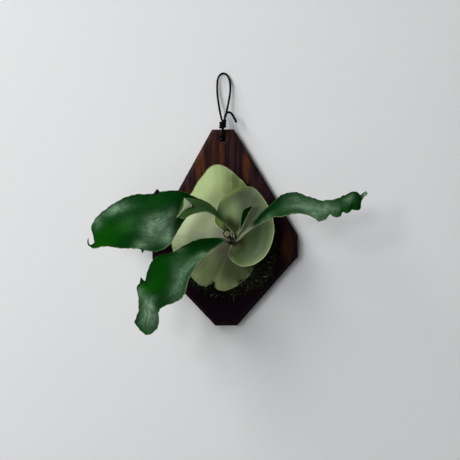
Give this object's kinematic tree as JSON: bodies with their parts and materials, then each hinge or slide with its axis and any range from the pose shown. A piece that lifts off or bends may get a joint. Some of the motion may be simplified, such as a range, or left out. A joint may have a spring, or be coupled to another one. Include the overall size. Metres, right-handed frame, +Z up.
{
  "type": "mounted staghorn fern",
  "caption": "Young staghorn fern with shield and antler fronds, growing from a moss ball on a dark stained wooden board that hangs on the wall by a loop of black cord.",
  "frame": {"origin": "the point of the wall where the nail stands that the cord's loop hangs on", "axes": "+Z up, +Y into the wall, so the board's back lies in the plane y = 0 and its front faces -Y, +X to the right as seen from the room"},
  "size_m": [0.3048, 0.1148, 0.3135],
  "materials": {
    "stained_wood": "satin",
    "black_cord": "matte",
    "moss": "matte",
    "rhizome": "matte",
    "old_shield": "satin",
    "new_shield": "satin",
    "antler_green": "satin",
    "young_green": "matte"
  },
  "bodies": {
    "root": {"board": "stained_wood", "hanging_cord": "black_cord", "cord_knot": "black_cord", "stopper_knot": "black_cord", "moss_mound": "moss", "rhizome": "rhizome", "old_shield_frond": "old_shield", "new_shield_frond": "new_shield", "left_frond": "antler_green", "lower_frond": "antler_green", "right_frond": "antler_green", "young_left_frond": "young_green", "young_upright_frond": "young_green"}
  },
  "joints": []
}
